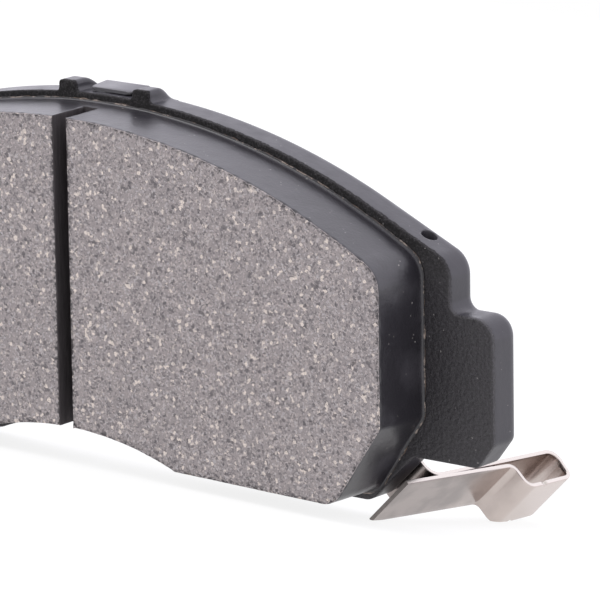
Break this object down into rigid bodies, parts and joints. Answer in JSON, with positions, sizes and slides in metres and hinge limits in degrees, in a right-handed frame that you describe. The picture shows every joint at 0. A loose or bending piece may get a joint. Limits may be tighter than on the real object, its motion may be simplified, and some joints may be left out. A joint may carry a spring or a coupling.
{
  "type": "disc brake pad",
  "caption": "Curved automotive disc brake pad: stamped backing plate with side ears, slotted friction lining, bonded shim and a sprung wear indicator strip.",
  "frame": {"origin": "centre of the shim face that the caliper piston presses", "axes": "+X along the pad's length, +Y square to the shim towards the piston, +Z away from the rotor's axis, so the lining faces -Y"},
  "size_m": [0.1446, 0.0437, 0.0656],
  "materials": {
    "powder_coat": "matte",
    "lining": "matte",
    "underlayer": "matte",
    "adhesive": "satin",
    "shim_rubber": "satin",
    "shim_steel": "satin",
    "spring_steel": "satin"
  },
  "bodies": {
    "pad": {"backing_plate": "powder_coat", "bond_film": "adhesive", "underlayer": "underlayer", "lining_right": "lining", "lining_left": "lining", "shim_bond": "adhesive", "shim_inner_coat": "shim_rubber", "shim_core": "shim_steel", "shim_outer_coat": "shim_rubber", "wear_indicator_base": "spring_steel", "wear_indicator_rivet": "spring_steel"},
    "indicator_arm": {"wear_indicator_arm": "spring_steel"}
  },
  "joints": [
    {"name": "wear_indicator_flex", "type": "hinge", "parent": "pad", "child": "indicator_arm", "pos_m": [0.0577, 0.02615, -0.03103], "axis": [0.7071, 0, 0.7071], "range_deg": [0, 4], "stiffness_Nm_per_rad": 0.05}
  ]
}
